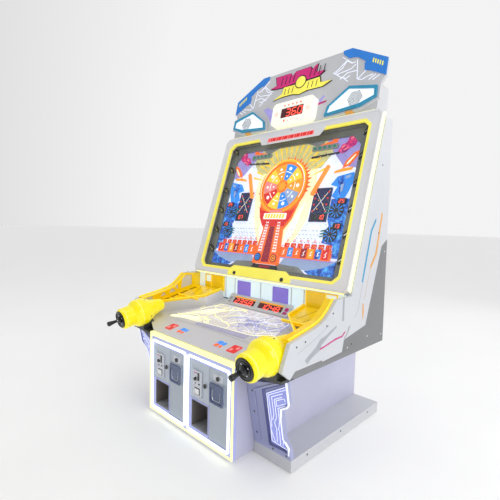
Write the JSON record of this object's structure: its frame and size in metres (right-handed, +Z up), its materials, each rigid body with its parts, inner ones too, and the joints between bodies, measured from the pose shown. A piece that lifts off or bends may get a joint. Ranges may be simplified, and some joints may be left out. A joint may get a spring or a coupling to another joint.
{
  "type": "pachinko machine",
  "caption": "Two-player pachinko cabinet with a leaning glazed playfield, spinning wheel, pull launchers, coin and ticket stations and a lit header.",
  "frame": {"origin": "on the floor, under the middle of the machine's overall box", "axes": "+Z up, players stand on the -Y side, +X is to the right of a player facing the machine"},
  "size_m": [1.24, 1.1466, 2.1381],
  "materials": {
    "white_panel": "boards with satin white paint, a slight lilac cast",
    "grey_panel": "boards with satin grey paint",
    "lilac_face": "satin pale blue-lilac paint",
    "steel_door": "brushed silver-grey paint",
    "header_grey": "boards with satin pale grey paint",
    "launcher_yellow": "glossy bright yellow moulding",
    "amber_acrylic": "translucent amber acrylic",
    "lit_white": "lit white diffuser",
    "lit_yellow": "lit pale yellow trim",
    "lit_violet": "lit violet acrylic",
    "blue_plastic": "glossy blue",
    "cyan_plastic": "cyan bezel",
    "magenta_plastic": "glossy magenta",
    "orange_plastic": "lit orange-red acrylic",
    "black_plastic": "glossy black",
    "dark_metal": "black-oxide metal",
    "steel": "bare steel",
    "glass": "clear tempered glass",
    "circuit_board": "green circuit board",
    "door_white": "aluminium with satin white paint",
    "surround_grey": "matte dark grey moulding",
    "rubber": "black rubber"
  },
  "bodies": {
    "cabinet": {"base_plinth": "white_panel", "levelling_feet": "rubber", "lower_body_boards": "white_panel", "cabinet_floor": "white_panel", "front_face_frame": "lilac_face", "return_cups": "grey_panel", "front_light_strips": "lit_white", "wing_panels": "grey_panel", "wing_lights": "lit_violet", "left_side_panel": "white_panel", "right_side_panel": "white_panel", "rear_corner_panels": "grey_panel", "rear_frame": "grey_panel", "console_deck": "white_panel", "left_launcher_shell": "launcher_yellow", "right_launcher_shell": "launcher_yellow", "launcher_discs": "black_plastic", "launcher_brackets": "dark_metal", "ball_ramps": "amber_acrylic", "console_display": "white_panel", "console_back_panel": "lit_white", "ticket_dispensers": "black_plastic", "cash_boxes": "dark_metal", "playfield_board": "white_panel", "playfield_surround": "surround_grey", "pin_field": "steel", "pocket_rows": "orange_plastic", "centre_tower": "orange_plastic", "wheel_motor": "dark_metal", "led_panels": "black_plastic", "header_shell": "header_grey", "header_corner_caps": "blue_plastic", "title_emblem": "magenta_plastic", "speaker_pods": "cyan_plastic", "score_display": "lit_white", "main_board": "circuit_board", "power_supply": "steel"},
    "glazed_door": {"door_frame": "door_white", "door_glass": "glass", "door_trim": "lit_yellow"},
    "left_frame_lock": {"left_frame_lock": "dark_metal"},
    "right_frame_lock": {"right_frame_lock": "dark_metal"},
    "prize_wheel": {"wheel_disc": "orange_plastic"},
    "left_gate_bar": {"left_gate_bar": "orange_plastic"},
    "right_gate_bar": {"right_gate_bar": "orange_plastic"},
    "left_plunger": {"left_plunger": "steel"},
    "right_plunger": {"right_plunger": "steel"},
    "left_coin_door": {"left_coin_door": "steel_door", "left_coin_mech": "steel"},
    "right_coin_door": {"right_coin_door": "steel_door", "right_coin_mech": "steel"},
    "left_reject_button": {"left_reject_button": "black_plastic"},
    "right_reject_button": {"right_reject_button": "black_plastic"},
    "left_coin_lock": {"left_coin_lock": "dark_metal"},
    "right_coin_lock": {"right_coin_lock": "dark_metal"},
    "left_ticket_door": {"left_ticket_door": "steel_door"},
    "right_ticket_door": {"right_ticket_door": "steel_door"},
    "left_ticket_lock": {"left_ticket_lock": "dark_metal"},
    "right_ticket_lock": {"right_ticket_lock": "dark_metal"},
    "service_door": {"service_door": "grey_panel"}
  },
  "joints": [
    {"name": "glazed_door_lift", "type": "hinge", "parent": "cabinet", "child": "glazed_door", "pos_m": [0, 0.40625, 1.71672], "axis": [-1, 0, 0], "range_deg": [0, 75]},
    {"name": "left_frame_lock_turn", "type": "hinge", "parent": "glazed_door", "child": "left_frame_lock", "pos_m": [-0.194, 0.11171, 0.78255], "axis": [0, -0.9537, 0.3007], "range_deg": [0, 90]},
    {"name": "right_frame_lock_turn", "type": "hinge", "parent": "glazed_door", "child": "right_frame_lock", "pos_m": [0.194, 0.11171, 0.78255], "axis": [0, -0.9537, 0.3007], "range_deg": [0, 90]},
    {"name": "prize_wheel_spin", "type": "hinge", "parent": "cabinet", "child": "prize_wheel", "pos_m": [0, 0.34203, 1.33014], "axis": [0, -0.9537, 0.3007], "continuous": true},
    {"name": "right_gate_swing", "type": "hinge", "parent": "cabinet", "child": "right_gate_bar", "pos_m": [0.249, 0.32639, 1.28054], "axis": [0, -0.9537, 0.3007], "range_deg": [-25, 25]},
    {"name": "left_gate_swing", "type": "hinge", "parent": "cabinet", "child": "left_gate_bar", "pos_m": [-0.249, 0.32639, 1.28054], "axis": [0, -0.9537, 0.3007], "range_deg": [-25, 25]},
    {"name": "left_plunger_pull", "type": "slide", "parent": "cabinet", "child": "left_plunger", "axis": [0, -0.9792, -0.2028], "range_m": [0, 0.045], "stiffness_N_per_m": 900, "springref_m": -0.006},
    {"name": "right_plunger_pull", "type": "slide", "parent": "cabinet", "child": "right_plunger", "axis": [0, -0.9792, -0.2028], "range_m": [0, 0.045], "stiffness_N_per_m": 900, "springref_m": -0.006},
    {"name": "left_coin_door_swing", "type": "hinge", "parent": "cabinet", "child": "left_coin_door", "pos_m": [-0.311, -0.38646, 0.308], "axis": [0, 0, -1], "range_deg": [0, 95]},
    {"name": "left_ticket_door_swing", "type": "hinge", "parent": "cabinet", "child": "left_ticket_door", "pos_m": [-0.023, -0.38646, 0.228], "axis": [0, 0, 1], "range_deg": [0, 95]},
    {"name": "left_reject_push", "type": "slide", "parent": "left_coin_door", "child": "left_reject_button", "axis": [0, 1, 0], "range_m": [0, 0.004], "stiffness_N_per_m": 600, "springref_m": -0.001},
    {"name": "left_coin_lock_turn", "type": "hinge", "parent": "left_coin_door", "child": "left_coin_lock", "pos_m": [-0.188, -0.38846, 0.3], "axis": [0, 1, 0], "range_deg": [0, 90]},
    {"name": "left_ticket_lock_turn", "type": "hinge", "parent": "left_ticket_door", "child": "left_ticket_lock", "pos_m": [-0.095, -0.38846, 0.364], "axis": [0, 1, 0], "range_deg": [0, 90]},
    {"name": "right_coin_door_swing", "type": "hinge", "parent": "cabinet", "child": "right_coin_door", "pos_m": [0.023, -0.38646, 0.308], "axis": [0, 0, -1], "range_deg": [0, 95]},
    {"name": "right_ticket_door_swing", "type": "hinge", "parent": "cabinet", "child": "right_ticket_door", "pos_m": [0.311, -0.38646, 0.228], "axis": [0, 0, 1], "range_deg": [0, 95]},
    {"name": "right_reject_push", "type": "slide", "parent": "right_coin_door", "child": "right_reject_button", "axis": [0, 1, 0], "range_m": [0, 0.004], "stiffness_N_per_m": 600, "springref_m": -0.001},
    {"name": "right_coin_lock_turn", "type": "hinge", "parent": "right_coin_door", "child": "right_coin_lock", "pos_m": [0.146, -0.38846, 0.3], "axis": [0, 1, 0], "range_deg": [0, 90]},
    {"name": "right_ticket_lock_turn", "type": "hinge", "parent": "right_ticket_door", "child": "right_ticket_lock", "pos_m": [0.239, -0.38846, 0.364], "axis": [0, 1, 0], "range_deg": [0, 90]},
    {"name": "service_door_swing", "type": "hinge", "parent": "cabinet", "child": "service_door", "pos_m": [-0.379, 0.49663, 1.03], "axis": [0, 0, 1], "range_deg": [0, 100]}
  ]
}
